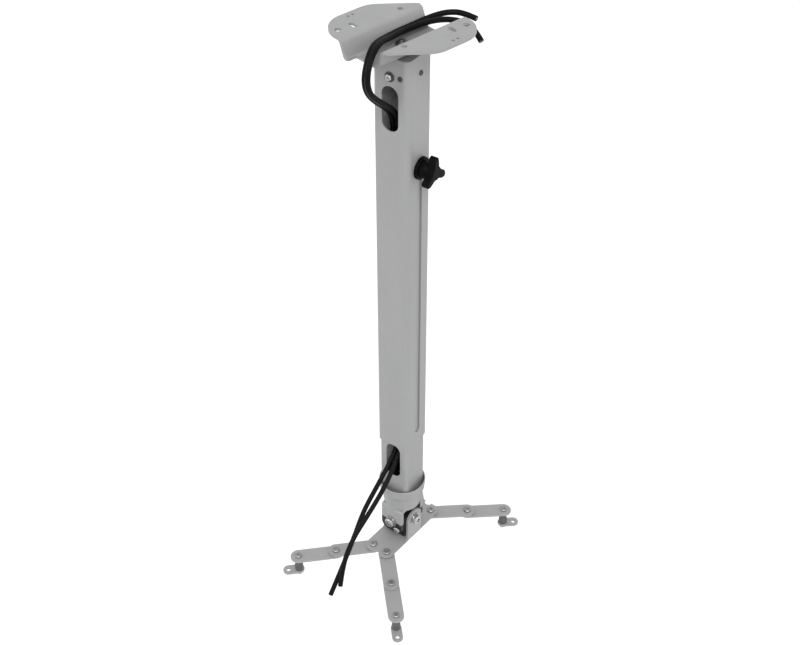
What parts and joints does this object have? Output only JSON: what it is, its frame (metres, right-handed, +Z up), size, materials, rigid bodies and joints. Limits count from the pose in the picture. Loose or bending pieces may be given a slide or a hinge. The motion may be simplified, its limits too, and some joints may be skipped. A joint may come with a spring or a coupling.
{
  "type": "projector ceiling mount",
  "caption": "Telescopic ceiling mount for a projector: winged ceiling plate, square sliding column with clamp knob, tilting joint, folding arms with screw lugs and cables through the column.",
  "frame": {"origin": "middle of the ceiling plate, in the plane of its wings' upper faces", "axes": "+Z up to the ceiling, Y along the plate's trough, X across its wings"},
  "size_m": [0.2348, 0.2968, 0.7578],
  "materials": {
    "paint": "satin silver-grey powder coat",
    "plug_black": "moulded black",
    "knob_black": "moulded black",
    "block_black": "black paint on a casting",
    "spacer_black": "moulded black",
    "steel": "bright zinc",
    "black_steel": "black oxide",
    "cable": "satin black jacket"
  },
  "bodies": {
    "ceiling_column": {"ceiling_plate": "paint", "plate_bolt": "steel", "top_plug": "paint", "plug_screws": "black_steel", "front_washer": "black_steel", "front_bolt": "steel", "outer_tube": "paint", "cable_upper_a": "cable", "cable_upper_b": "cable"},
    "inner_column": {"inner_tube": "paint", "slide_cap": "plug_black", "nut_plate": "steel", "joint_cup": "paint", "roll_yoke": "block_black", "end_plug": "plug_black", "hub_bolt": "steel", "cable_lower_a": "cable", "cable_lower_b": "cable"},
    "clamp": {"clamp_knob": "knob_black", "clamp_stud": "steel", "clamp_washer": "knob_black"},
    "gimbal": {"gimbal_block": "block_black", "roll_lock": "steel", "roll_bolts": "steel", "roll_washers": "steel", "tilt_bolts": "steel", "tilt_washers": "steel"},
    "base": {"base_plate": "paint", "root_screws": "steel", "root_nuts": "steel"},
    "arm_left_inner": {"arm_left_inner": "paint", "arm_left_screw": "steel"},
    "arm_left_outer": {"arm_left_outer": "paint", "foot_left_stud": "steel", "foot_left_spacer": "spacer_black"},
    "foot_left": {"foot_left_lug": "paint"},
    "arm_front_inner": {"arm_front_inner": "paint", "arm_front_screw": "steel"},
    "arm_front_outer": {"arm_front_outer": "paint", "foot_front_stud": "steel", "foot_front_spacer": "spacer_black"},
    "foot_front": {"foot_front_lug": "paint"},
    "arm_right_inner": {"arm_right_inner": "paint", "arm_right_screw": "steel"},
    "arm_right_outer": {"arm_right_outer": "paint", "foot_right_stud": "steel", "foot_right_spacer": "spacer_black"},
    "foot_right": {"foot_right_lug": "paint"},
    "arm_rear_inner": {"arm_rear_inner": "paint", "arm_rear_screw": "steel"},
    "arm_rear_outer": {"arm_rear_outer": "paint", "foot_rear_stud": "steel", "foot_rear_spacer": "spacer_black"},
    "foot_rear": {"foot_rear_lug": "paint"}
  },
  "joints": [
    {"name": "column_slide", "type": "slide", "parent": "ceiling_column", "child": "inner_column", "axis": [0, 0, -1], "range_m": [0, 0.377]},
    {"name": "knob_turn", "type": "hinge", "parent": "inner_column", "child": "clamp", "pos_m": [0, 0, -0.154], "axis": [0.9681, 0.2504, 0], "continuous": true},
    {"name": "roll_tilt", "type": "hinge", "parent": "inner_column", "child": "gimbal", "pos_m": [0, 0, -0.69], "axis": [-0.1719, 0.9851, 0], "range_deg": [-15, 15]},
    {"name": "pitch_tilt", "type": "hinge", "parent": "gimbal", "child": "base", "pos_m": [0, 0, -0.69], "axis": [0.9851, 0.1719, 0], "range_deg": [-15, 15]},
    {"name": "arm_left_swing", "type": "hinge", "parent": "base", "child": "arm_left_inner", "pos_m": [-0.00293, -0.04721, -0.72545], "axis": [0, 0, 1], "range_deg": [-60, 60]},
    {"name": "arm_left_fold", "type": "hinge", "parent": "arm_left_inner", "child": "arm_left_outer", "pos_m": [-0.02906, -0.08807, -0.72815], "axis": [0, 0, 1], "range_deg": [-90, 90]},
    {"name": "foot_left_turn", "type": "hinge", "parent": "arm_left_outer", "child": "foot_left", "pos_m": [-0.05519, -0.12892, -0.7521], "axis": [0, 0, 1], "continuous": true},
    {"name": "arm_front_swing", "type": "hinge", "parent": "base", "child": "arm_front_inner", "pos_m": [0.01874, -0.04342, -0.72545], "axis": [0, 0, 1], "range_deg": [-60, 60]},
    {"name": "arm_front_fold", "type": "hinge", "parent": "arm_front_inner", "child": "arm_front_outer", "pos_m": [0.05891, -0.07061, -0.72815], "axis": [0, 0, 1], "range_deg": [-90, 90]},
    {"name": "foot_front_turn", "type": "hinge", "parent": "arm_front_outer", "child": "foot_front", "pos_m": [0.09907, -0.09781, -0.7521], "axis": [0, 0, 1], "continuous": true},
    {"name": "arm_right_swing", "type": "hinge", "parent": "base", "child": "arm_right_inner", "pos_m": [0.00293, 0.04721, -0.72545], "axis": [0, 0, 1], "range_deg": [-60, 60]},
    {"name": "arm_right_fold", "type": "hinge", "parent": "arm_right_inner", "child": "arm_right_outer", "pos_m": [0.03252, 0.08563, -0.72815], "axis": [0, 0, 1], "range_deg": [-90, 90]},
    {"name": "foot_right_turn", "type": "hinge", "parent": "arm_right_outer", "child": "foot_right", "pos_m": [0.06211, 0.12406, -0.7521], "axis": [0, 0, 1], "continuous": true},
    {"name": "arm_rear_swing", "type": "hinge", "parent": "base", "child": "arm_rear_inner", "pos_m": [-0.01874, 0.04342, -0.72545], "axis": [0, 0, 1], "range_deg": [-60, 60]},
    {"name": "arm_rear_fold", "type": "hinge", "parent": "arm_rear_inner", "child": "arm_rear_outer", "pos_m": [-0.05891, 0.07061, -0.72815], "axis": [0, 0, 1], "range_deg": [-90, 90]},
    {"name": "foot_rear_turn", "type": "hinge", "parent": "arm_rear_outer", "child": "foot_rear", "pos_m": [-0.09907, 0.09781, -0.7521], "axis": [0, 0, 1], "continuous": true}
  ]
}
